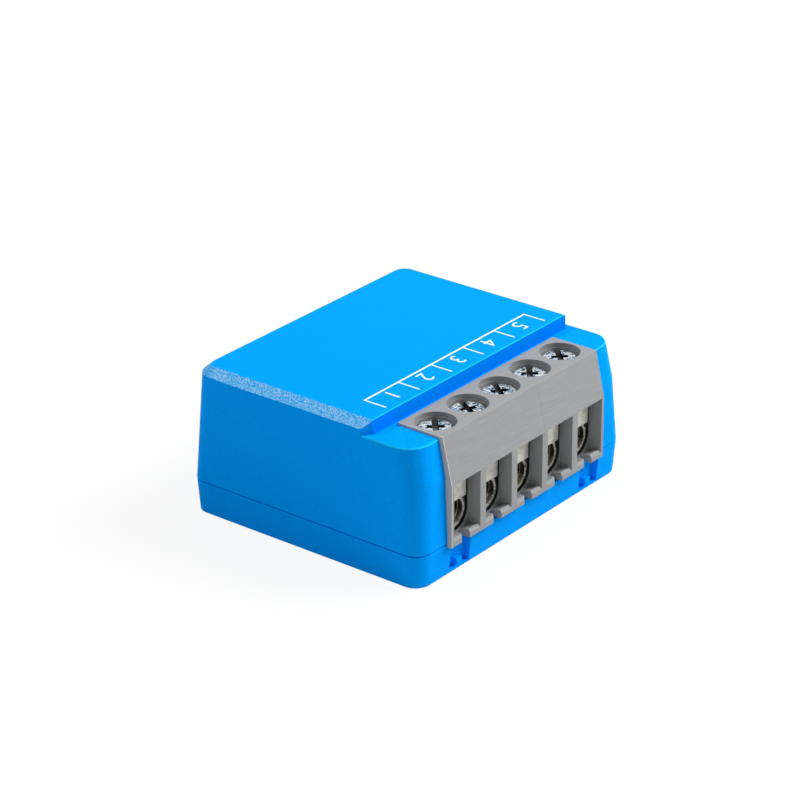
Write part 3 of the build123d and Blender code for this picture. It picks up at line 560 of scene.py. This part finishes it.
def barMesh(name, x0, x1, y0, y1, z0, z1):
    corners = [(x, y, z) for z in (z0, z1) for x, y in ((x0, y0), (x1, y0), (x1, y1), (x0, y1))]
    faces = [(3, 2, 1, 0), (4, 5, 6, 7), (0, 1, 5, 4), (1, 2, 6, 5), (2, 3, 7, 6), (3, 0, 4, 7)]
    return addMesh(name, corners, faces)


def digitMesh(name, text, look, x, deckZ):
    # digits stand upright for a reader at the back, so they are turned half round
    curve = bpy.data.curves.new(name, "FONT")
    curve.body = text
    curve.align_x = "CENTER"
    curve.size = 1.0  # measured at this size, then scaled to the height
    probe = addObject(name + "_probe", curve)
    bpy.context.view_layer.update()
    curve.size = look["digitHeight"] / probe.dimensions.y
    curve.offset = -look["digitThinning"]
    curve.extrude = look["inkHeight"] / 2
    bpy.context.view_layer.update()
    settled = probe.evaluated_get(bpy.context.evaluated_depsgraph_get())
    mesh = bpy.data.meshes.new_from_object(settled)
    bpy.data.objects.remove(probe)
    piece = addObject(name, mesh)
    piece.location = (x, look["digitFootY"], deckZ + look["inkHeight"] / 2)
    piece.rotation_euler.z = math.pi
    return piece


def placePrint(piece, material):
    piece.data.materials.clear()
    piece.data.materials.append(material)
    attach(piece, "module")


def labelPrint(look):
    ink = inkMaterial(look)
    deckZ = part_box("upper_shell")[1].z
    half, tickHalf = look["lineWidth"] / 2, look["tickWidth"] / 2
    low, high = deckZ, deckZ + look["inkHeight"]
    left, right, lineY = look["bracketLeft"], look["bracketRight"], look["bracketY"]
    cell = (right - left) / ways
    bracket = barMesh("label_bracket", left - half, right + half, lineY - half, lineY + half,
                      low, high)
    placePrint(bracket, ink)
    for index in range(ways + 1):
        x = left + index * cell
        tick = barMesh(f"label_tick_{index + 1}", x - tickHalf, x + tickHalf, look["tickEndY"],
                       lineY - half, low, high)
        placePrint(tick, ink)
    for index in range(ways):
        x = left + (index + 1 / 2) * cell
        placePrint(digitMesh(f"label_digit_{index + 1}", str(index + 1), look, x, deckZ), ink)


labelPrint(printLook)
print("label printed")


# Studio

studio = {
    "floorSize": 3.0,
    "floorDrop": 0.01 * mm,
    "floorColour": paint(218, 218, 218),
    "whiteShare": 0.86,
    "whiteStrength": 1.04,
    "worldStrength": 0.19,
    "mirroredWorldStrength": 0.9,
    "lamps": {
        "keyLamp": {"toward": (0.55, -0.45, 0.68), "distance": 0.6, "size": 0.36, "power": 4.6},
        "chamferLamp": {"toward": (-0.3265, 0.5651, 0.7578), "distance": 0.6, "size": 0.1,
                        "power": 1.05},
        "fillLamp": {"toward": (-0.84, -0.3, 0.3), "distance": 0.6, "size": 0.5, "power": 0.42},
    },
}


def floorMaterial(look):
    # white where it is seen or mirrored, matte grey for the light, with the part's shadow
    s = newShader("studioFloor")
    seen = s.node("LightPath", {}, {}, "Is Camera Ray")
    mirrored = s.node("LightPath", {}, {}, "Is Glossy Ray")
    through = s.node("LightPath", {}, {}, "Is Transmission Ray")
    shown = (seen + mirrored + through).clamp() * look["whiteShare"]
    matte = s.node("BsdfDiffuse", {}, {"Color": look["floorColour"]})
    white = s.node("Emission", {}, {"Color": pureWhite, "Strength": look["whiteStrength"]})
    surface = s.node("MixShader", {}, {0: shown, 1: matte, 2: white})
    s.node("OutputMaterial", {}, {"Surface": surface})
    return s.holder


def makeFloor(look):
    half = look["floorSize"] / 2
    corners = [(-half, -half, 0), (half, -half, 0), (half, half, 0), (-half, half, 0)]
    floor = addMesh("studio_floor", corners, [(0, 1, 2, 3)])
    floor.location.z = -look["floorDrop"]
    floor.data.materials.append(floorMaterial(look))


def makeLamp(name, look, target):
    lamp = bpy.data.lights.new(name, "AREA")
    lamp.shape, lamp.size, lamp.energy = "SQUARE", look["size"], look["power"]
    holder = addObject(name, lamp)
    toward = Vector(look["toward"]).normalized()
    holder.location = target + toward * look["distance"]
    holder.rotation_euler = toward.to_track_quat("Z", "Y").to_euler()


def makeWorld(look):
    # metal mirrors a brighter room than the one that lights the part
    s = Shader(bpy.data.worlds.new("studioWorld"))
    mirrored = s.node("LightPath", {}, {}, "Is Glossy Ray")
    extra = look["mirroredWorldStrength"] - look["worldStrength"]
    room = s.node("Background", {}, {"Color": pureWhite,
                                     "Strength": look["worldStrength"] + mirrored * extra})
    s.node("OutputWorld", {}, {"Surface": room})
    bpy.context.scene.world = s.holder


middle = (Vector(cadBounds[0]) + Vector(cadBounds[1])) / 2
makeFloor(studio)
makeWorld(studio)
for name, lampLook in studio["lamps"].items():
    makeLamp(name, lampLook, middle)
bpy.context.scene.view_settings.view_transform = "Standard"
print("studio ready")


# Camera

cameraLook = {
    "place": (-215.142 * mm, -169.537 * mm, 139.093 * mm),
    "right": (0.62112559, -0.78367065, -0.00795729),
    "up": (0.33688206, 0.2578127, 0.90556231),
    "lens": 137.96,
    "sensor": 36.0,
    "clipStart": 10 * mm,
}


def makeCamera(look):
    lens = bpy.data.cameras.new("photoCamera")
    lens.lens, lens.sensor_width, lens.clip_start = look["lens"], look["sensor"], look["clipStart"]
    camera = addObject("photoCamera", lens)
    right, up = Vector(look["right"]), Vector(look["up"])
    camera.rotation_euler = Matrix((right, up, right.cross(up))).transposed().to_euler()
    camera.location = look["place"]
    bpy.context.scene.camera = camera


makeCamera(cameraLook)
print("camera set")
